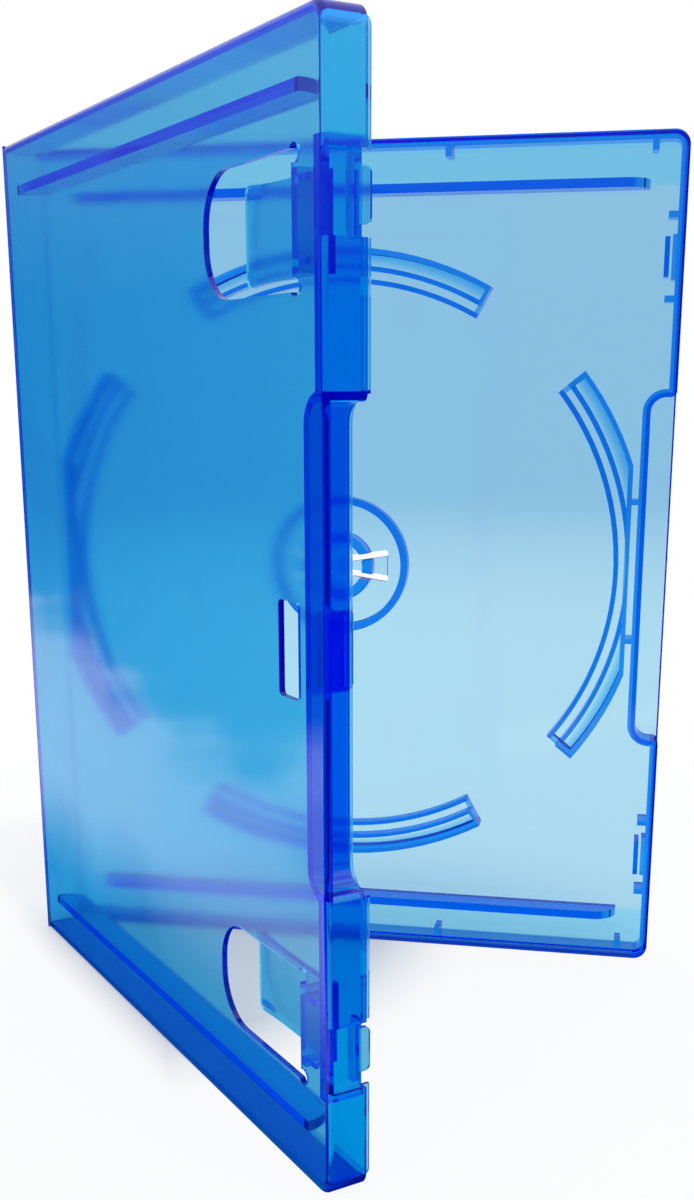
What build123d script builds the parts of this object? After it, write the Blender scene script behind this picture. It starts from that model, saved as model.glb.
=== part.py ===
from build123d import *

import os
from math import cos, degrees, radians, sin, tan

os.makedirs("parts", exist_ok=True)

# Game disc case of clear blue plastic, standing on its end and partly open, as a book stands.
# The back cover lies along +X with its inside towards -Y. The spine and the front cover follow
# it through two thin hinge lines. The origin is under the middle of the open case.

# Closed case
case_height = 171.0
case_width = 135.0
case_depth = 14.0

# How far each hinge line is opened from the closed case, in degrees
spine_opening = 15.15
cover_opening = 33.4

# Moulding
plate = 1.0
wall = 1.6
corner_radius = 3.0
edge_radius = 1.0
parting_gap = 0.3
wall_start = 1.6

# Hinge lines: a thin web ends in a round bead that the cover's edge turns about
web = 0.45
bead_clearance = 0.06
groove_width = 0.8

# Closing lip of the front rim and the rebate that takes it in the back rim
lip_thickness = 0.5
lip_height = 1.0
lip_clearance = 0.2
lip_start = 6.0

# Thumb recess in the middle of the free edge
thumb_length = 71.0
thumb_depth = 5.0
thumb_radius = 3.0
thumb_mouth_radius = 1.2

# Long stiffening ribs beside the top and bottom walls
rib_inset = 8.4
rib_thickness = 1.8
rib_start = 8.0
rib_edge_gap = 7.2
rib_round = 5.0
rib_drop = 0.5

# Disc seat: hub, platform and four arcs round the disc's edge, each with a ledge under the disc
# and a step outside it. The two arcs at the sides have flats, one near the spine and one at the
# centre latch's channel, and the disc fits between
seat_start = 3.8
disc_to_flat = 1.65
disc_margin = 1.0
hub_radius = 7.4
hub_bore_radius = 5.2
hub_height = 2.8
hub_lead_in = 0.4
platform_radius = 14.7
seat_height = 2.4
ledge_width = 2.5
arc_width = 4.4
arc_height = 4.6
side_arc_angle = 38.5
end_arc_angle = 29.0

# Release bridge across the hub, in two halves that tip down when the middle is pressed
bridge_reach = 9.8
bridge_root = 4.0
bridge_waist = 0.9
button_radius = 2.2
bridge_slot = 1.4
bridge_split = 0.3

# Booklet clips of the front cover, each over a window that has relief notches at its root
clip_end_gap = 26.2
window_edge_gap = 8.7
window_length = 28.6
window_height = 18.4
window_flat = 2.4
notch_radius = 1.3
clip_lead = 5.3
clip_root_width = 13.6
clip_tip_width = 14.8
clip_tip_radius = 1.4
clip_gap = 3.6
clip_thickness = 1.0
gusset_length = 3.2
gusset_height = 3.0
gusset_thickness = 1.0
gusset_spacing = 10.6
grip_length = 4.5
grip_width = 1.0
grip_height = 0.5
grip_spacing = 11.0

# Snap latches near the corners of the free edge
latch_end_gap = 23.2
pocket_length = 11.0
tongue_length = 7.4
tongue_thickness = 0.8
tongue_reach = 1.6
tongue_radius = 0.9
tongue_clearance = 0.25
bolster_height = 1.0
bolster_thickness = 1.6
bar_length = 7.6
bar_thickness = 1.0
bar_height = 5.0
pad_length = 8.6
pad_thickness = 0.8
pad_height = 3.8

# Centre latch behind the thumb recess, with its slot through the front plate
centre_latch_length = 11.8
centre_latch_thickness = 0.75
centre_latch_clearance = 0.275
block_reach = 3.0
block_depth = 2.6
block_radius = 1.0
slot_length = 14.5
slot_width = 6.2
slot_from_wall = 1.5
slot_radius = 0.8
channel_rib_spacing = 29.0
channel_rib_thickness = 1.2

# Nubs on the inside of the back cover's walls
nub_width = 1.3
nub_length = 1.6
nub_drop = 0.3
end_nub_edge_gaps = (47.0, 6.5)
side_nub_spacing = 15.8

# Levels in a cover, measured inwards from its outer face
half_height = case_height / 2
parting_level = case_depth / 2
rim_level = parting_level - parting_gap / 2
rib_level = rim_level - rib_drop
seat_level = plate + seat_height
arc_level = plate + arc_height
rebate_level = parting_level - lip_height - parting_gap
nub_level = rebate_level - nub_drop
clip_level = plate + clip_gap
lip_level = parting_level + lip_height
tongue_level = parting_level + tongue_reach

# Lines along the height, measured from the middle
rib_line = half_height - rib_inset - rib_thickness / 2
clip_offset = half_height - clip_end_gap
latch_offset = half_height - latch_end_gap
double_start = (thumb_length + wall) / 2
double_end = latch_offset + pocket_length / 2 + wall
double_middle = (double_start + double_end) / 2

# Lines across a cover, measured from the outside of the spine
root_depth = plate / 2
bead_radius = plate / 2
bead_spacing = case_depth - 2 * bead_radius
wall_inside = case_width - wall
thumb_face = case_width - thumb_depth
thumb_inside = thumb_face - wall
tongue_outside = wall_inside - tongue_clearance
bar_outside = tongue_outside - tongue_thickness - tongue_clearance
latch_channel = centre_latch_thickness + 2 * centre_latch_clearance
chord_face = thumb_inside - latch_channel
arc_chord = (chord_face - seat_start) / 2
hub_from_spine = seat_start + arc_chord
disc_radius = arc_chord - disc_to_flat
disc_step_radius = disc_radius + disc_margin
arc_outer_radius = disc_step_radius + arc_width
ledge_radius = disc_step_radius - ledge_width
rim_skin = wall - lip_thickness - lip_clearance
rib_end = case_width - rib_edge_gap
window_end = case_width - window_edge_gap
window_start = window_end - window_length
window_radius = (window_height - window_flat) / 2
clip_tip = window_start + clip_lead
overcut = 2.0

# Pose of the open case: hinge lines and the middle of the space that it takes up
spine_turn = radians(spine_opening)
cover_turn = radians(spine_opening + cover_opening)
front_line_x = bead_radius - bead_spacing * sin(spine_turn)
front_line_y = -bead_radius - bead_spacing * cos(spine_turn)
free_edge_y = (
    front_line_y
    - (case_width - bead_radius - edge_radius) * sin(cover_turn)
    + (edge_radius - bead_radius) * cos(cover_turn)
    - edge_radius
)
middle_x = (case_width + front_line_x - bead_radius) / 2
middle_y = free_edge_y / 2

back_hinge = Vector(bead_radius - middle_x, -bead_radius - middle_y, 0)
front_hinge = Vector(front_line_x - middle_x, front_line_y - middle_y, 0)
mid_height = Vector(0, 0, half_height)

# Each cover is drawn on its outer face: x from the spine to the free edge, y along the height
# from the middle, z inwards
along_front = Vector(cos(cover_turn), -sin(cover_turn), 0)
into_front = Vector(sin(cover_turn), cos(cover_turn), 0)
back_face = Plane(origin=Vector(-middle_x, -middle_y, half_height), x_dir=(1, 0, 0), z_dir=(0, -1, 0))
front_face = Plane(
    origin=front_hinge + mid_height - (along_front + into_front) * bead_radius,
    x_dir=along_front,
    z_dir=into_front,
)
spine_foot = Plane(origin=back_hinge, x_dir=(-sin(spine_turn), -cos(spine_turn), 0), z_dir=(0, 0, 1))


def rim_outline(inset):
    """Plan of the rim, set in from its outside, with the thumb recess and open past the hinge."""
    with BuildSketch() as outline:
        with Locations((-corner_radius, 0)):
            Rectangle(case_width + corner_radius, case_height, align=(Align.MIN, Align.CENTER))
        fillet(outline.vertices().group_by(Axis.X)[-1], corner_radius)
        with Locations((case_width, 0)):
            Rectangle(2 * thumb_depth, thumb_length, mode=Mode.SUBTRACT)
        recess = outline.vertices().filter_by(lambda v: abs(v.Y) < thumb_length / 2 + plate)
        fillet(recess.filter_by(lambda v: v.X < thumb_face + plate), thumb_radius)
        mouth = outline.vertices().filter_by(lambda v: abs(abs(v.Y) - thumb_length / 2) < plate)
        fillet(mouth.filter_by(lambda v: v.X > case_width - plate), thumb_mouth_radius)
        if inset > 0:
            offset(amount=-inset)
    return outline.sketch


def long_section(face, y):
    """Plane across a cover's height at y: x from the spine, y inwards from the outer face."""
    return Plane(origin=face.from_local_coords(Vector(0, y, 0)), x_dir=face.x_dir, z_dir=face.y_dir * -1)


def edge_section(face, x):
    """Plane across a cover's width at x: x along the height, y inwards from the outer face."""
    return Plane(origin=face.from_local_coords(Vector(x, 0, 0)), x_dir=face.y_dir, z_dir=face.x_dir)


def cover_shell(face, hinge):
    """One cover: its plate, rim walls with the thumb recess, long ribs and hinge groove."""
    inwards = Axis(face.origin, face.z_dir)
    outwards_from_spine = Axis(face.origin, face.x_dir)
    with BuildPart() as shell:
        with BuildSketch(face) as slab:
            with Locations((bead_radius, 0)):
                Rectangle(case_width - bead_radius, case_height, align=(Align.MIN, Align.CENTER))
            fillet(slab.vertices().group_by(Axis.X)[-1], corner_radius)
        extrude(amount=rim_level)
        outer_edges = shell.faces().sort_by(inwards)[0].edges()
        fillet(outer_edges.sort_by(outwards_from_spine)[1:], edge_radius)

        with BuildSketch(face.offset(plate)):
            add(rim_outline(wall))
        extrude(amount=rim_level, mode=Mode.SUBTRACT)

        with BuildSketch(face.offset(plate)):
            with Locations((thumb_face - overcut, 0)):
                Rectangle(
                    thumb_depth + 2 * overcut,
                    thumb_length + 2 * thumb_mouth_radius + overcut,
                    align=(Align.MIN, Align.CENTER),
                )
            add(rim_outline(0), mode=Mode.SUBTRACT)
        extrude(amount=rim_level, mode=Mode.SUBTRACT)

        with BuildSketch(face.offset(plate)):
            Rectangle(2 * wall_start, case_height + overcut)
        extrude(amount=rim_level, mode=Mode.SUBTRACT)

        with BuildSketch(Plane(hinge)):
            Circle(bead_radius + bead_clearance)
        extrude(amount=case_height, mode=Mode.SUBTRACT)

        for side in (-1, 1):
            with BuildSketch(long_section(face, side * rib_line)) as rib:
                with Locations((rib_start, root_depth)):
                    Rectangle(
                        rib_end - rib_start, rib_level - root_depth, align=(Align.MIN, Align.MIN)
                    )
                fillet(rib.vertices().group_by(Axis.Y)[-1], rib_round)
            extrude(amount=rib_thickness / 2, both=True)
    return shell.part


def seat_arc(section, half_angle, chord):
    """One arc of the disc seat: its section turned about the hub and cut square at the chord."""
    with BuildPart() as arc:
        with BuildSketch(Plane.XZ):
            Polygon(*section, align=None)
        revolve(axis=Axis.Z)
        with BuildSketch():
            spread = chord * tan(radians(half_angle))
            Polygon((0, 0), (chord, -spread), (chord, spread), align=None)
        extrude(amount=arc_level, mode=Mode.INTERSECT)
    return arc.part


def hub_places(turns):
    """Places on a cover's face that are turned about the hub by the given angles."""
    return [Location((hub_from_spine, 0, 0), (0, 0, turn)) for turn in turns]


def bridge_plan(growth):
    """Plan of the right half of the release bridge, grown on all sides but its root."""
    with BuildSketch() as half:
        Polygon(
            (bridge_reach, -bridge_root / 2),
            (bridge_reach, bridge_root / 2),
            (0, bridge_waist / 2),
            (0, -bridge_waist / 2),
            align=None,
        )
        Circle(button_radius)
        if growth > 0:
            offset(amount=growth)
        with Locations((bridge_split / 2 - growth, 0)):
            Rectangle(
                bridge_reach - bridge_split / 2 + growth,
                2 * platform_radius,
                align=(Align.MIN, Align.CENTER),
                mode=Mode.INTERSECT,
            )
    return half.sketch


def bridge_root_line(side, length):
    """Root line of one half of the bridge, as a plane at its lower end."""
    foot = back_face.from_local_coords(
        Vector(hub_from_spine + side * bridge_reach, -length / 2, seat_level - plate / 2)
    )
    return Plane(origin=foot, x_dir=back_face.x_dir, z_dir=back_face.y_dir)


# Spine: a flat strip with a thinned web and a bead along each long edge
with BuildPart() as spine:
    with BuildSketch(spine_foot):
        with Locations((bead_spacing / 2, 0)):
            Rectangle(bead_spacing - 2 * groove_width, plate)
        with Locations((bead_spacing / 2, -bead_radius)):
            Rectangle(bead_spacing, web, align=(Align.CENTER, Align.MIN))
        with Locations((0, 0), (bead_spacing, 0)):
            Circle(bead_radius)
    extrude(amount=case_height)

# Front cover: booklet clips over their windows, snap tongues in pockets, closing lip
front_shell = cover_shell(front_face, front_hinge)

with BuildPart() as front_cover:
    add(front_shell)

    # Closing lip along the inside of the rim, broken at the latch pockets
    with BuildSketch(front_face.offset(rim_level - lip_height)):
        add(rim_outline(rim_skin + lip_clearance))
        add(rim_outline(wall), mode=Mode.SUBTRACT)
        with Locations((lip_start, 0)):
            Rectangle(case_width, case_height, align=(Align.MIN, Align.CENTER), mode=Mode.INTERSECT)
        with Locations((case_width, -latch_offset), (case_width, latch_offset)):
            Rectangle(4 * wall, pocket_length, mode=Mode.SUBTRACT)
    extrude(amount=lip_level - rim_level + lip_height)

    # Latch pockets: the wall steps in by its own thickness and stays double as far as the thumb
    # recess, and a bolster runs along the pocket's rim
    with BuildSketch(front_face.offset(root_depth)):
        for side in (-1, 1):
            with Locations((wall_inside, side * double_middle)):
                Rectangle(wall, double_end - double_start, align=(Align.MAX, Align.CENTER))
    extrude(amount=rim_level - root_depth)
    with BuildSketch(front_face.offset(edge_radius)):
        with Locations((wall_inside, -latch_offset), (wall_inside, latch_offset)):
            Rectangle(2 * wall, pocket_length, align=(Align.MIN, Align.CENTER))
    extrude(amount=rim_level, mode=Mode.SUBTRACT)
    with BuildSketch(front_face.offset(rim_level)):
        bolster_root = wall_inside - wall + root_depth
        with Locations((bolster_root, -latch_offset), (bolster_root, latch_offset)):
            Rectangle(bolster_thickness + root_depth, pocket_length, align=(Align.MAX, Align.CENTER))
    extrude(amount=-bolster_height)

    # Snap tongues stand past the rim out of the pockets
    with BuildSketch(edge_section(front_face, tongue_outside - tongue_thickness)) as tongues:
        with Locations((-latch_offset, edge_radius), (latch_offset, edge_radius)):
            Rectangle(tongue_length, tongue_level - edge_radius, align=(Align.CENTER, Align.MIN))
        fillet(tongues.vertices().group_by(Axis.Y)[-1], tongue_radius)
    extrude(amount=tongue_thickness)

    # Centre latch: a block stands out from the recessed wall, over the slot, and carries a thin
    # tongue past the rim
    latch_inside = chord_face + centre_latch_clearance
    with BuildSketch(edge_section(front_face, thumb_inside + root_depth)) as block:
        with Locations((0, rim_level)):
            Rectangle(centre_latch_length, block_depth, align=(Align.CENTER, Align.MAX))
        fillet(block.vertices(), block_radius)
    extrude(amount=-block_reach - root_depth)
    with BuildSketch(edge_section(front_face, latch_inside)) as centre_tongue:
        with Locations((0, parting_level - lip_height)):
            Rectangle(
                centre_latch_length, tongue_reach + lip_height, align=(Align.CENTER, Align.MIN)
            )
        fillet(centre_tongue.vertices().group_by(Axis.Y)[-1], tongue_radius)
    extrude(amount=centre_latch_thickness)

    # Windows under the clips and the slot beside the centre latch
    with BuildSketch(front_face) as windows:
        with Locations((window_start, -clip_offset), (window_start, clip_offset)):
            Rectangle(window_end - window_start, window_height, align=(Align.MIN, Align.CENTER))
        fillet(windows.vertices().group_by(Axis.X)[0], window_radius)
        notch_spread = window_height / 2 - notch_radius / 2
        for side in (-1, 1):
            with Locations(
                (window_end + notch_radius / 2, side * clip_offset - notch_spread),
                (window_end + notch_radius / 2, side * clip_offset + notch_spread),
            ):
                Circle(notch_radius)
    extrude(amount=plate, mode=Mode.SUBTRACT)
    with BuildSketch(front_face):
        with Locations((thumb_inside - slot_from_wall, 0)):
            RectangleRounded(slot_width, slot_length, slot_radius, align=(Align.MAX, Align.CENTER))
    extrude(amount=plate, mode=Mode.SUBTRACT)

    # Clips: a riser at the window's end and a tongue that widens towards its tip
    for side in (-1, 1):
        with BuildSketch(front_face.offset(clip_level)) as clip:
            with BuildLine():
                root = window_end + clip_thickness
                waist = (clip_tip + window_end) / 2
                low = side * clip_offset - clip_root_width / 2
                high = side * clip_offset + clip_root_width / 2
                flare = (clip_tip_width - clip_root_width) / 2
                Line((root, low), (root, high))
                Line((root, high), (waist, high))
                TangentArc((waist, high), (clip_tip, high + flare), tangent=(-1, 0))
                Line((clip_tip, high + flare), (clip_tip, low - flare))
                TangentArc((waist, low), (clip_tip, low - flare), tangent=(-1, 0))
                Line((root, low), (waist, low))
            make_face()
            fillet(clip.vertices().group_by(Axis.X)[0], clip_tip_radius)
        extrude(amount=clip_thickness)
        with BuildSketch(front_face.offset(root_depth)):
            with Locations((window_end, side * clip_offset)):
                Rectangle(clip_thickness, clip_root_width, align=(Align.MIN, Align.CENTER))
        extrude(amount=clip_level + clip_thickness - root_depth)
        for place in (-1, 1):
            gusset_line = side * clip_offset + place * gusset_spacing / 2
            with BuildSketch(long_section(front_face, gusset_line)):
                with Locations((window_end + clip_thickness / 2, root_depth)):
                    Polygon(
                        (0, 0),
                        (gusset_length + clip_thickness / 2, 0),
                        (gusset_length + clip_thickness / 2, plate),
                        (0, plate + gusset_height),
                        align=None,
                    )
            extrude(amount=gusset_thickness / 2, both=True)
            grip_line = side * clip_offset + place * grip_spacing / 2
            with BuildSketch(long_section(front_face, grip_line)):
                with Locations((clip_tip + clip_tip_radius, clip_level + clip_thickness / 2)):
                    Polygon(
                        (0, 0),
                        (grip_length, 0),
                        (grip_length, -clip_thickness / 2),
                        (0, -clip_thickness / 2 - grip_height),
                        align=None,
                    )
            extrude(amount=grip_width / 2, both=True)

# Back cover: disc seat with its hub, catches for the latches, rebated rim
back_shell = cover_shell(back_face, back_hinge)

# Each arc is hollow behind, and its roof thickens towards the outer wall
full_chord = arc_outer_radius + disc_margin
skin_angle = degrees(plate / arc_outer_radius)
skin = (
    (ledge_radius, root_depth),
    (arc_outer_radius, root_depth),
    (arc_outer_radius, arc_level),
    (disc_step_radius, arc_level),
    (disc_step_radius, seat_level),
    (ledge_radius, seat_level),
)
hollow = (
    (ledge_radius + plate, 0),
    (arc_outer_radius - plate, 0),
    (arc_outer_radius - plate, seat_level - plate),
    (disc_step_radius + plate, arc_level - plate),
    (disc_step_radius + plate, seat_level - plate),
    (ledge_radius + plate, seat_level - plate),
)
raised_arcs = []
sunk_arcs = []
for turns, half_angle, chord in (
    ((0, 180), side_arc_angle, arc_chord),
    ((90, 270), end_arc_angle, full_chord),
):
    raised = seat_arc(skin, half_angle, chord)
    sunk = seat_arc(hollow, half_angle - skin_angle, chord - plate)
    for place in hub_places(turns):
        raised_arcs.append(raised.moved(back_face.location * place))
        sunk_arcs.append(sunk.moved(back_face.location * place))

with BuildPart() as back_cover:
    add(back_shell)

    # Rebate inside the rim for the closing lip
    with BuildSketch(back_face.offset(rebate_level)):
        add(rim_outline(rim_skin))
        add(rim_outline(wall), mode=Mode.SUBTRACT)
    extrude(amount=rim_level, mode=Mode.SUBTRACT)

    # Arcs of the disc seat
    add(raised_arcs)
    add(sunk_arcs, mode=Mode.SUBTRACT)

    # Hub: a raised platform, hollow behind, and the ring that the disc snaps over
    with BuildSketch(back_face.offset(root_depth)):
        with Locations((hub_from_spine, 0)):
            Circle(platform_radius)
    extrude(amount=seat_level - root_depth)
    with BuildSketch(back_face):
        with Locations((hub_from_spine, 0)):
            Circle(platform_radius - wall)
    extrude(amount=seat_level - plate, mode=Mode.SUBTRACT)
    with BuildSketch(back_face.offset(seat_level - root_depth)):
        with Locations((hub_from_spine, 0)):
            Circle(hub_radius)
            Circle(hub_bore_radius, mode=Mode.SUBTRACT)
    extrude(amount=hub_height + root_depth)
    ring_edges = back_cover.edges().filter_by(GeomType.CIRCLE)
    ring_edges = ring_edges.filter_by(lambda e: abs(e.radius - hub_radius) < bead_clearance)
    chamfer(ring_edges.sort_by(Axis(back_face.origin, back_face.z_dir))[-1], hub_lead_in)

    # Room for the release bridge, with a slot along its sides and a groove at each root
    with BuildSketch(back_face.offset(seat_level - plate)):
        with Locations(*hub_places((0, 180))):
            add(bridge_plan(bridge_slot))
            for side in (-1, 1):
                with Locations((bridge_reach, side * (bridge_root + bridge_slot) / 2)):
                    Circle(bridge_slot / 2)
    extrude(amount=hub_height + 2 * plate, mode=Mode.SUBTRACT)
    for side in (-1, 1):
        with BuildSketch(bridge_root_line(side, bridge_root + bridge_slot)):
            Circle(plate / 2 + bead_clearance)
        extrude(amount=bridge_root + bridge_slot, mode=Mode.SUBTRACT)

    # Catches: a bar inside the free edge and a pad on the wall at each snap latch
    with BuildSketch(back_face.offset(root_depth)):
        with Locations((bar_outside, -latch_offset), (bar_outside, latch_offset)):
            Rectangle(bar_thickness, bar_length, align=(Align.MAX, Align.CENTER))
    extrude(amount=plate + bar_height - root_depth)
    with BuildSketch(back_face.offset(root_depth)):
        pad_root = wall_inside + root_depth
        with Locations((pad_root, -latch_offset), (pad_root, latch_offset)):
            Rectangle(pad_thickness + root_depth, pad_length, align=(Align.MAX, Align.CENTER))
    extrude(amount=plate + pad_height - root_depth)

    # Ribs that close the ends of the centre latch's channel
    with BuildSketch(back_face.offset(root_depth)):
        channel_middle = (chord_face + thumb_inside) / 2
        with Locations(
            (channel_middle, -channel_rib_spacing / 2), (channel_middle, channel_rib_spacing / 2)
        ):
            Rectangle(thumb_inside - chord_face + 2 * root_depth, channel_rib_thickness)
    extrude(amount=nub_level - root_depth)

    # Nubs on the walls
    with BuildSketch(back_face.offset(root_depth)):
        for side in (-1, 1):
            for gap in end_nub_edge_gaps:
                with Locations((case_width - gap, side * (half_height - wall - nub_length / 2))):
                    Rectangle(nub_width, nub_length + root_depth)
            for place in (-1, 1):
                nub_line = side * latch_offset + place * side_nub_spacing / 2
                with Locations((wall_inside - nub_length / 2, nub_line)):
                    Rectangle(nub_length + root_depth, nub_width)
    extrude(amount=nub_level - root_depth)

# Release bridge: the button in the middle tips both halves, each with a tooth of the hub's ring
with BuildPart() as hub_release_right:
    with BuildSketch(back_face.offset(seat_level - plate)):
        with Locations((hub_from_spine, 0)):
            add(bridge_plan(0))
    extrude(amount=plate)
    with BuildSketch(bridge_root_line(1, bridge_root)):
        Circle(plate / 2)
    extrude(amount=bridge_root)
    with BuildSketch(back_face.offset(seat_level - root_depth)):
        with Locations((hub_from_spine, 0)):
            add(bridge_plan(0))
            Circle(hub_radius, mode=Mode.INTERSECT)
            Circle(hub_bore_radius, mode=Mode.SUBTRACT)
    extrude(amount=hub_height + root_depth)

with BuildPart() as hub_release_left:
    hub_middle = back_face.from_local_coords(Vector(hub_from_spine, 0, 0))
    mirror(hub_release_right.part, about=Plane(origin=hub_middle, z_dir=back_face.x_dir))

spine.part.label = "spine"
front_cover.part.label = "front_cover"
back_cover.part.label = "back_cover"
hub_release_right.part.label = "hub_release_right"
hub_release_left.part.label = "hub_release_left"

export_step(spine.part, "parts/spine.step")
export_step(front_cover.part, "parts/front_cover.step")
export_step(back_cover.part, "parts/back_cover.step")
export_step(hub_release_right.part, "parts/hub_release_right.step")
export_step(hub_release_left.part, "parts/hub_release_left.step")
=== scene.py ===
from math import radians
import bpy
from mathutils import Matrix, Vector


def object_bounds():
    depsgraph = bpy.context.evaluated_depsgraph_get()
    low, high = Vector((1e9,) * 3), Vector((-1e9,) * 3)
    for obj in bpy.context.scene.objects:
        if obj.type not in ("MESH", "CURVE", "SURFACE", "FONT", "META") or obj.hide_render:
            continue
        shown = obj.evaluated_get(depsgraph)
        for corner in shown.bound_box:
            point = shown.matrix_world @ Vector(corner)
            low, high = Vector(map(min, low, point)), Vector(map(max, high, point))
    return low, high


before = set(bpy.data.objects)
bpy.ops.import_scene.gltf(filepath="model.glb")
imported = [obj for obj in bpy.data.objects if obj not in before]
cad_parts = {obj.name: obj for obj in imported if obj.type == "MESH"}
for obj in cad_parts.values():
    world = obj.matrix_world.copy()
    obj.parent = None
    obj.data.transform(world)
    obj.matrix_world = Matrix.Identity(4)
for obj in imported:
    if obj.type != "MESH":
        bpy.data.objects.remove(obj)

from types import SimpleNamespace

import bpy
from mathutils import Matrix, Vector

cad_low, cad_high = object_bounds()

# Back cover: the tray that holds the disc, moulded in clear blue polypropylene with the rest of the
# case and joined to the spine by a living hinge. Its plate is a millimetre thick and passes much of
# the light, while its walls, arcs and hub are looked through edge on and turn deep blue; that deep
# blue is deepened with painted shade in their base colour, most round the hub's seat and at the foot,
# and a band of the plate near each end is painted more saturated as painted shade.
millimetre = 0.001
plastic_index = 1.49
tray_blue = (0.0, 0.70, 0.998, 1.0)
tray_per_metre = 735.0
tray_face = (1.0, 1.0, 0.98, 1.0)
# Painted shade: the walls' base colour is a deeper blue than the faces'
tray_wall_shade = (0.01, 0.38, 0.95, 1.0)
tip_level = 5.9 * millimetre
lip_level = 6.95 * millimetre
upright_to_flat = (0.30, 0.72)
# Painted shade: a band of the plate near the top and bottom ends is painted more saturated blue
end_strip_shade = (0.66, 0.97, 1.0, 1.0)
end_strip_shade_width = (8.4 * millimetre, 10.2 * millimetre)
# Painted shade: the wall tips at the foot are painted darkest blue
foot_shade = (0.01, 0.06, 0.97, 1.0)
foot_level = 1.7 * millimetre
# Painted shade: roofs on the round walls of the hub's seat are painted deeper blue
hub_seat_shade = (0.005, 0.20, 0.93, 1.0)
hub_axis = (-0.35 * millimetre, 0.0, 85.5 * millimetre)
hub_turns_about = (0.0, 1.0, 0.0)
walls_round_hub = (
    (13.1 * millimetre, 14.7 * millimetre),
    (58.5 * millimetre, 59.5 * millimetre),
    (61.0 * millimetre, 62.0 * millimetre),
)
roof_levels = (1.2 * millimetre, 4.7 * millimetre)
roof_flatness = (0.6, 0.9)
tray_wave_size = 45.0 * millimetre
tray_wave_depth = 0.2 * millimetre
polish_grain = 4.0 * millimetre
tray_smooth = 0.04
tray_dull = 0.09


def worked_out(operation, *values):
    """Result of one step of arithmetic on values and sockets."""
    step = nodes.new("ShaderNodeMath")
    step.operation = operation
    for value, socket in zip(values, step.inputs):
        if isinstance(value, float):
            socket.default_value = value
        else:
            links.new(value, socket)
    return step.outputs["Value"]


def vector_step(operation, output, *values):
    """Result of one step of arithmetic on vectors."""
    step = nodes.new("ShaderNodeVectorMath")
    step.operation = operation
    for value, socket in zip(values, step.inputs):
        if isinstance(value, bpy.types.NodeSocket):
            links.new(value, socket)
        else:
            socket.default_value = value
    return step.outputs[output]


def rises(source, low, high):
    """How far the source has come from low to high, from 0 to 1."""
    step = nodes.new("ShaderNodeMapRange")
    step.interpolation_type = "SMOOTHSTEP"
    step.inputs["From Min"].default_value = low
    step.inputs["From Max"].default_value = high
    links.new(source, step.inputs["Value"])
    return step.outputs["Result"]


def inside(source, low, high):
    """1 where the source lies from low to high, else 0."""
    past_low = worked_out("GREATER_THAN", source, low)
    below_high = worked_out("LESS_THAN", source, high)
    return worked_out("MULTIPLY", past_low, below_high)


def between(share, first, second):
    """First colour where the share is 0 and second where it is 1."""
    mix = nodes.new("ShaderNodeMix")
    mix.data_type = "RGBA"
    links.new(share, mix.inputs["Factor"])
    for name, colour in (("A_Color", first), ("B_Color", second)):
        socket = next(i for i in mix.inputs if i.identifier == name)
        if isinstance(colour, tuple):
            socket.default_value = colour
        else:
            links.new(colour, socket)
    return next(o for o in mix.outputs if o.identifier == "Result_Color")


def either(share, first, second):
    """First vector where the share is 0 and second where it is 1."""
    mix = nodes.new("ShaderNodeMix")
    mix.data_type = "VECTOR"
    links.new(share, mix.inputs["Factor"])
    for name, vector in (("A_Vector", first), ("B_Vector", second)):
        socket = next(i for i in mix.inputs if i.identifier == name)
        if isinstance(vector, bpy.types.NodeSocket):
            links.new(vector, socket)
        else:
            socket.default_value = vector
    return next(o for o in mix.outputs if o.identifier == "Result_Vector")


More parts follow.
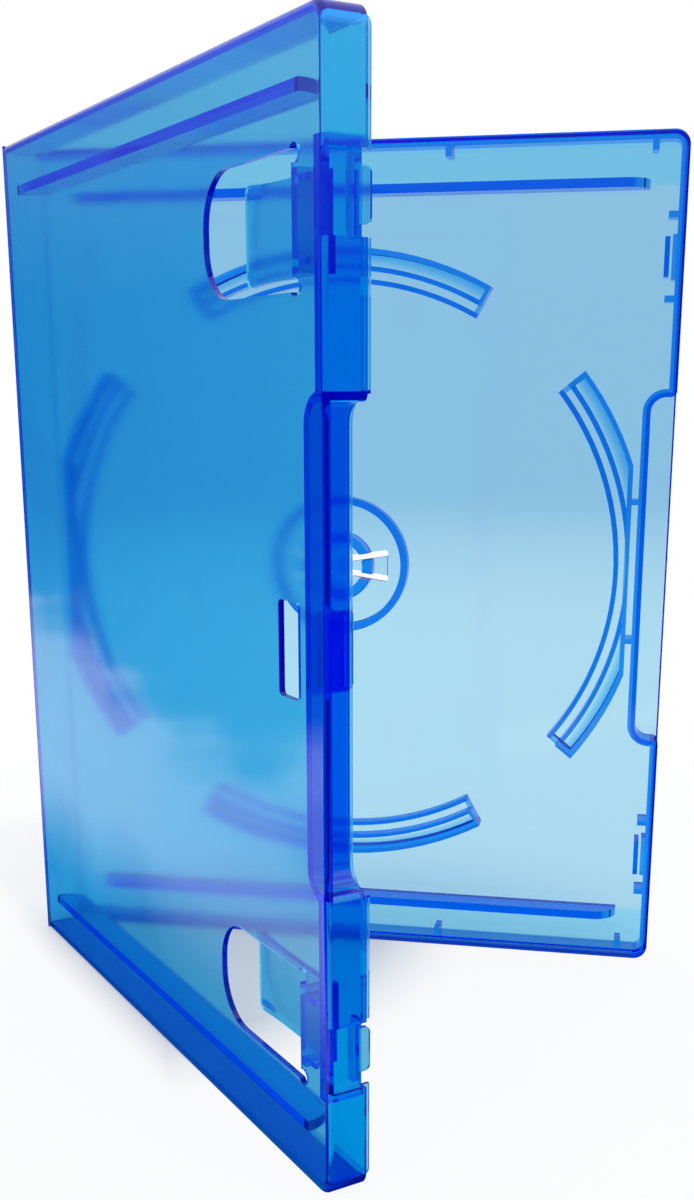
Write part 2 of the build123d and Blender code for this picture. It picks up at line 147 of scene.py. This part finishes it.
def clear_blue_plastic(node, passed, per_metre, wave_size, wave_depth, smooth, dull):
    """Clear blue plastic, tinted through its depth, with slow waves from cooling and a fine polish."""
    global nodes, links
    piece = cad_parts[node]
    material = bpy.data.materials.new(node + "_plastic")
    material.use_nodes = True
    piece.data.materials.clear()
    piece.data.materials.append(material)
    nodes = material.node_tree.nodes
    links = material.node_tree.links
    plastic = nodes["Principled BSDF"]
    plastic.inputs["IOR"].default_value = plastic_index
    plastic.inputs["Transmission Weight"].default_value = 1.0
    tint = nodes.new("ShaderNodeVolumeAbsorption")
    tint.inputs["Color"].default_value = passed
    tint.inputs["Density"].default_value = per_metre
    links.new(tint.outputs["Volume"], nodes["Material Output"].inputs["Volume"])

    # Depth runs from the plate's outer face, the largest one, towards the tips of the walls
    largest = max(piece.data.polygons, key=lambda polygon: polygon.area)
    levels = [vertex.co.dot(largest.normal) for vertex in piece.data.vertices]
    face_level = largest.center.dot(largest.normal)
    outer_level = min((min(levels), max(levels)), key=lambda level: abs(level - face_level))
    outwards = largest.normal.copy() if outer_level == max(levels) else -largest.normal
    place = nodes.new("ShaderNodeTexCoord")
    point = place.outputs["Object"]
    parts = nodes.new("ShaderNodeSeparateXYZ")
    links.new(point, parts.inputs["Vector"])
    facing = vector_step("DOT_PRODUCT", "Value", place.outputs["Normal"], outwards)
    height = vector_step("DOT_PRODUCT", "Value", point, largest.normal)
    depth = worked_out("ABSOLUTE", worked_out("SUBTRACT", height, outer_level))

    flow = nodes.new("ShaderNodeTexNoise")
    flow.inputs["Scale"].default_value = 1 / wave_size
    flow.inputs["Detail"].default_value = 2.0
    links.new(point, flow.inputs["Vector"])
    waves = nodes.new("ShaderNodeBump")
    waves.inputs["Distance"].default_value = wave_depth
    links.new(flow.outputs["Fac"], waves.inputs["Height"])
    links.new(waves.outputs["Normal"], plastic.inputs["Normal"])

    polish = nodes.new("ShaderNodeTexNoise")
    polish.inputs["Scale"].default_value = 1 / polish_grain
    polish.inputs["Detail"].default_value = 5.0
    links.new(point, polish.inputs["Vector"])
    gloss = nodes.new("ShaderNodeMapRange")
    gloss.inputs["To Min"].default_value = smooth
    gloss.inputs["To Max"].default_value = dull
    links.new(polish.outputs["Fac"], gloss.inputs["Value"])
    links.new(gloss.outputs["Result"], plastic.inputs["Roughness"])
    return SimpleNamespace(
        colour=plastic.inputs["Base Color"],
        waves=waves,
        outwards=outwards,
        point=point,
        level=parts.outputs["Z"],
        flatness=worked_out("ABSOLUTE", facing),
        depth=depth,
    )


def plain_faces(piece, tips_from):
    """1 on the plate's faces and on the thin lip past the rim, 0 on walls, ribs and their tips."""
    below_tips = worked_out("LESS_THAN", piece.depth, tips_from)
    plate = worked_out("MULTIPLY", rises(piece.flatness, *upright_to_flat), below_tips)
    return worked_out("MAXIMUM", plate, worked_out("GREATER_THAN", piece.depth, lip_level))


tray = clear_blue_plastic(
    "back_cover", tray_blue, tray_per_metre, tray_wave_size, tray_wave_depth, tray_smooth, tray_dull
)
from_end = worked_out("MINIMUM", tray.level, worked_out("SUBTRACT", cad_high[2], tray.level))
# Faces, with painted shade in the band near the top and bottom ends
faces = between(rises(from_end, *end_strip_shade_width), end_strip_shade, tray_face)
plain = plain_faces(tray, tip_level)
# Walls start from the painted shade of the tray's walls
walls = tray_wall_shade

# Roofs that stand on the round walls of the disc seat are coloured as walls, with a deeper blue
# painted on as painted shade
from_hub = vector_step("SUBTRACT", "Vector", tray.point, hub_axis)
across = vector_step("CROSS_PRODUCT", "Vector", from_hub, hub_turns_about)
radius = vector_step("LENGTH", "Value", across)
roof = inside(tray.depth, *roof_levels)
for inner, outer in walls_round_hub:
    walled = worked_out("MULTIPLY", roof, inside(radius, inner, outer))
    plain = worked_out("MULTIPLY", plain, worked_out("SUBTRACT", 1.0, walled))
    walls = between(walled, walls, hub_seat_shade)
# Painted shade: the tips of the walls at the foot are painted darkest blue
at_foot = worked_out("LESS_THAN", tray.level, foot_level)
at_tip = worked_out("GREATER_THAN", tray.depth, tip_level)
walls = between(worked_out("MULTIPLY", at_foot, at_tip), walls, foot_shade)
links.new(between(plain, walls, faces), tray.colour)

# Sloping roofs behind the arcs blend into the plate
surface = nodes.new("ShaderNodeNewGeometry")
upright = nodes.new("ShaderNodeVectorTransform")
upright.vector_type = "NORMAL"
upright.convert_from = "OBJECT"
upright.convert_to = "WORLD"
plate_side = either(surface.outputs["Backfacing"], tray.outwards, -tray.outwards)
links.new(plate_side, upright.inputs["Vector"])
sloping = worked_out("MULTIPLY", inside(tray.flatness, *roof_flatness), roof)
blended = either(sloping, surface.outputs["Normal"], upright.outputs["Vector"])
links.new(blended, tray.waves.inputs["Normal"])

# Release bridge of the hub: two short tongues of the same moulding, slit free along their sides and
# held at their outer ends. They tip down together when the middle is pressed.
tooth_level = 2.5 * millimetre
bridge_wave_size = 10.0 * millimetre
bridge_wave_depth = 0.02 * millimetre
for node in ("hub_release_right", "hub_release_left"):
    tongue = clear_blue_plastic(
        node, tray_blue, tray_per_metre, bridge_wave_size, bridge_wave_depth, tray_smooth, tray_dull
    )
    # Painted shade: the tongues' walls are painted deeper blue than their faces
    links.new(between(plain_faces(tongue, tooth_level), tray_wall_shade, tray_face), tongue.colour)

# Spine: the flat strip between the covers, of the same clear plastic. Webs thin enough to bend join
# it to both of them.
spine = clear_blue_plastic(
    "spine", tray_blue, tray_per_metre, tray_wave_size, tray_wave_depth, tray_smooth, tray_dull
)
# Painted shade: the spine's walls are painted deeper blue, darkest at the foot
walls = between(worked_out("LESS_THAN", spine.level, foot_level), tray_wall_shade, foot_shade)
links.new(between(plain_faces(spine, tip_level), walls, tray_face), spine.colour)

# Front cover: the lid, of the same clear plastic and hung on the spine, with the booklet clips cut
# free over their windows. Its large outer face is polished and shows slow waves in what it reflects.
# The walls are painted deeper blue than the faces as painted shade, deepest at the thumb recess, the
# block of the middle latch and the foot, and the top wall and top end are painted paler as painted
# light.
lid_blue = (0.0, 0.853, 0.998, 1.0)
lid_per_metre = 1700.0
lid_face = (1.0, 0.83, 0.92, 1.0)
# Painted shade: the lid's walls are painted deeper blue, deepest at the recess, the latch block and
# the foot
lid_wall_shade = (0.02, 0.66, 0.96, 1.0)
recess_shade = (0.01, 0.22, 0.92, 1.0)
recess_levels = (50.0 * millimetre, 121.0 * millimetre)
latch_block_shade = (0.005, 0.03, 0.90, 1.0)
block_levels = (79.6 * millimetre, 91.4 * millimetre)
# Painted light: the lid's top wall and its top end by the free edge are painted paler
lid_top_wall_light = (0.05, 1.0, 0.98, 1.0)
roof_from = 169.3 * millimetre
top_end_light = (0.80, 0.88, 0.97, 1.0)
end_from = 155.0 * millimetre
free_edge_from = 51.0 * millimetre
lid_along = (0.662, -0.750, 0.0)
lid_wave_size = 60.0 * millimetre
lid_wave_depth = 0.8 * millimetre
lid_smooth = 0.06
lid_dull = 0.10

lid = clear_blue_plastic(
    "front_cover", lid_blue, lid_per_metre, lid_wave_size, lid_wave_depth, lid_smooth, lid_dull
)
along = vector_step("DOT_PRODUCT", "Value", lid.point, lid_along)
at_free_edge = worked_out("GREATER_THAN", along, free_edge_from)
at_top_end = worked_out("GREATER_THAN", lid.level, end_from)
# Painted shade on the walls, deepest at the recess, the latch block and the foot; painted light on the
# top wall and the top end
walls = between(inside(lid.level, *recess_levels), lid_wall_shade, recess_shade)
walls = between(inside(lid.level, *block_levels), walls, latch_block_shade)
walls = between(worked_out("GREATER_THAN", lid.level, roof_from), walls, lid_top_wall_light)
walls = between(worked_out("MULTIPLY", at_top_end, at_free_edge), walls, top_end_light)
walls = between(worked_out("LESS_THAN", lid.level, foot_level), walls, foot_shade)
links.new(between(plain_faces(lid, tip_level), walls, lid_face), lid.colour)

# Table: a plain white top that the case stands on. It keeps the case's blue shadow close by, and
# fades to the white of the backdrop where it is seen straight or to the far wall through the plastic.
# In the lid's polish it shows painted shade of deep blue with a painted reflection of a white cloudy
# area with an uneven edge.
table_left = -0.9
table_right = 0.20
table_front = -0.40
table_back = 2.5
table_white = (0.95, 0.95, 0.95, 1.0)
table_dull = 0.8
white = (1.0, 1.0, 1.0, 1.0)
white_through = (0.94, 0.93, 0.91, 1.0)
wall_colour = (0.56, 0.69, 0.79, 1.0)
# Deep blue of the room, which the table also shows to mirrored rays as painted shade
room_and_painted_shade_colour = (0.0, 0.05, 0.25, 1.0)
hinge_foot = (-0.068, 0.050, 0.0)
deepest_white = 0.3
mouth_white = 0.9
mouth_fade = (0.06, 0.10)
white_fade = (0.12, 0.25)
through_fade = (0.06, 0.15)
wall_fade = (0.35, 1.5)
lid_foot = (0.0203, -0.0566, 0.0)
lid_outwards = (-0.750, -0.662, 0.0)
beside_lid_fade = (-0.005, 0.01)
patch_corner = (-0.121, -0.040, 0.0)
patch_inwards = (0.65, 0.76, 0.0)
patch_fade = (-0.01, 0.03)
patch_off_lid = (0.015, 0.05)
lobe_middle = (-0.238, 0.010, 0.0)
lobe_radius = 0.06
cloud_size = 0.08
cloud_depth = 0.04

mesh = bpy.data.meshes.new("table")
corners = [
    (table_left, table_front, 0.0),
    (table_right, table_front, 0.0),
    (table_right, table_back, 0.0),
    (table_left, table_back, 0.0),
]
mesh.from_pydata(corners, [], [(0, 1, 2, 3)])
table = bpy.data.objects.new("table", mesh)
bpy.context.scene.collection.objects.link(table)
table_material = bpy.data.materials.new("table_white")
table_material.use_nodes = True
table_material.cycles.emission_sampling = "NONE"
mesh.materials.append(table_material)
nodes = table_material.node_tree.nodes
links = table_material.node_tree.links

top = nodes["Principled BSDF"]
top.inputs["Base Color"].default_value = table_white
top.inputs["Roughness"].default_value = table_dull
top.inputs["Specular IOR Level"].default_value = 0.0
place = nodes.new("ShaderNodeTexCoord")
point = place.outputs["Object"]


def past_line(corner, direction):
    """Distance past a line on the table, which goes through the corner across the direction."""
    from_corner = vector_step("SUBTRACT", "Vector", point, corner)
    return vector_step("DOT_PRODUCT", "Value", from_corner, direction)


rays = nodes.new("ShaderNodeLightPath")
straight = rays.outputs["Is Camera Ray"]
through = rays.outputs["Is Transmission Ray"]
mirrored = worked_out("MULTIPLY", rays.outputs["Is Glossy Ray"], rays.outputs["Is Reflection Ray"])
away = vector_step("LENGTH", "Value", point)
from_hinge = vector_step("DISTANCE", "Value", point, hinge_foot)
past_lid = past_line(lid_foot, lid_outwards)

# Seen straight, the table is deepest between the covers and white in the open
in_the_open = worked_out("MAXIMUM", rises(from_hinge, *mouth_fade), rises(past_lid, *beside_lid_fade))
near = worked_out("MAXIMUM", worked_out("MULTIPLY", in_the_open, mouth_white), deepest_white)
around = worked_out("MAXIMUM", near, rises(away, *white_fade))
straight_white = worked_out("MULTIPLY", straight, around)
around_case = worked_out("MAXIMUM", rises(away, *through_fade), deepest_white)
through_white = worked_out("MULTIPLY", through, around_case)
shown = worked_out("MAXIMUM", worked_out("MAXIMUM", straight_white, through_white), mirrored)
far_off = worked_out("MULTIPLY", rises(away, *wall_fade), through)
seen_through = between(far_off, white_through, wall_colour)
seen_straight = between(straight, seen_through, white)

clouds = nodes.new("ShaderNodeTexNoise")
clouds.inputs["Scale"].default_value = 1 / cloud_size
clouds.inputs["Detail"].default_value = 2.0
links.new(point, clouds.inputs["Vector"])
drift = worked_out("MULTIPLY", worked_out("SUBTRACT", clouds.outputs["Fac"], 0.5), 2 * cloud_depth)
past_corner = worked_out("ADD", past_line(patch_corner, patch_inwards), drift)
inside_patch = rises(past_corner, *patch_fade)
to_lobe = vector_step("DISTANCE", "Value", point, lobe_middle)
inside_lobe = rises(worked_out("SUBTRACT", drift, to_lobe), -lobe_radius, -lobe_radius / 2)
off_lid = rises(past_lid, *patch_off_lid)
painted_reflection_patch = worked_out("MULTIPLY", worked_out("MAXIMUM", inside_patch, inside_lobe), off_lid)
# Painted reflection: to mirrored rays the table shows painted deep blue shade and a white cloudy area
seen = between(mirrored, seen_straight, between(painted_reflection_patch, room_and_painted_shade_colour, white))
backdrop = nodes.new("ShaderNodeEmission")
links.new(seen, backdrop.inputs["Color"])
blend = nodes.new("ShaderNodeMixShader")
links.new(shown, blend.inputs["Fac"])
links.new(top.outputs["BSDF"], blend.inputs[1])
links.new(backdrop.outputs["Emission"], blend.inputs[2])
links.new(blend.outputs["Shader"], nodes["Material Output"].inputs["Surface"])

# Studio: a white ceiling light and pale blue-grey walls, which the plastic shows behind it. What its
# faces mirror is the deep blue of the room with a glow towards the ceiling, and seen straight the
# studio is plain white.
ceiling_white = (1.1, 1.1, 1.1, 1.0)
ceiling_from = (0.25, 0.60)
glow_from = (0.04, 0.42)

world = bpy.data.worlds.new("studio")
bpy.context.scene.world = world
world.use_nodes = True
world.cycles.sampling_method = "NONE"
nodes = world.node_tree.nodes
links = world.node_tree.links
heading = nodes.new("ShaderNodeTexCoord")
parts = nodes.new("ShaderNodeSeparateXYZ")
links.new(heading.outputs["Generated"], parts.inputs["Vector"])
upwards = parts.outputs["Z"]
rays = nodes.new("ShaderNodeLightPath")
mirrored = worked_out("MULTIPLY", rays.outputs["Is Glossy Ray"], rays.outputs["Is Reflection Ray"])
sides = between(mirrored, wall_colour, room_and_painted_shade_colour)
glow = worked_out("MULTIPLY", mirrored, rises(upwards, *glow_from))
overhead = worked_out("MAXIMUM", rises(upwards, *ceiling_from), glow)
studio = between(overhead, sides, ceiling_white)
straight_or_studio = between(rays.outputs["Is Camera Ray"], studio, white)
links.new(straight_or_studio, nodes["Background"].inputs["Color"])

# Camera: close in front of the free edges, a little above the middle of the case and looking down,
# with its frame moved off the lens axis as in a cropped picture.
camera_place = Vector((61.01, -247.81, 122.87)) * millimetre
camera_turn = radians(11.135)
camera_tilt = radians(90.0 - 14.605)
camera_roll = radians(-0.08)
image_long_side = 1200
focal_pixels = 1405.49
middle_right_of_centre = 3.49
middle_below_centre = 154.24
light_bounces = 160

camera = bpy.data.cameras.new("camera")
camera.sensor_width = 36.0
camera.lens = camera.sensor_width * focal_pixels / image_long_side
camera.shift_x = -middle_right_of_centre / image_long_side
camera.shift_y = middle_below_centre / image_long_side
camera.clip_start = 0.01
viewer = bpy.data.objects.new("camera", camera)
bpy.context.scene.collection.objects.link(viewer)
viewer.matrix_world = (
    Matrix.Translation(camera_place)
    @ Matrix.Rotation(camera_turn, 4, "Z")
    @ Matrix.Rotation(camera_tilt, 4, "X")
    @ Matrix.Rotation(camera_roll, 4, "Z")
)
bpy.context.scene.camera = viewer

scene = bpy.context.scene
scene.view_settings.view_transform = "Standard"
scene.cycles.max_bounces = light_bounces
scene.cycles.transmission_bounces = light_bounces
scene.cycles.glossy_bounces = light_bounces
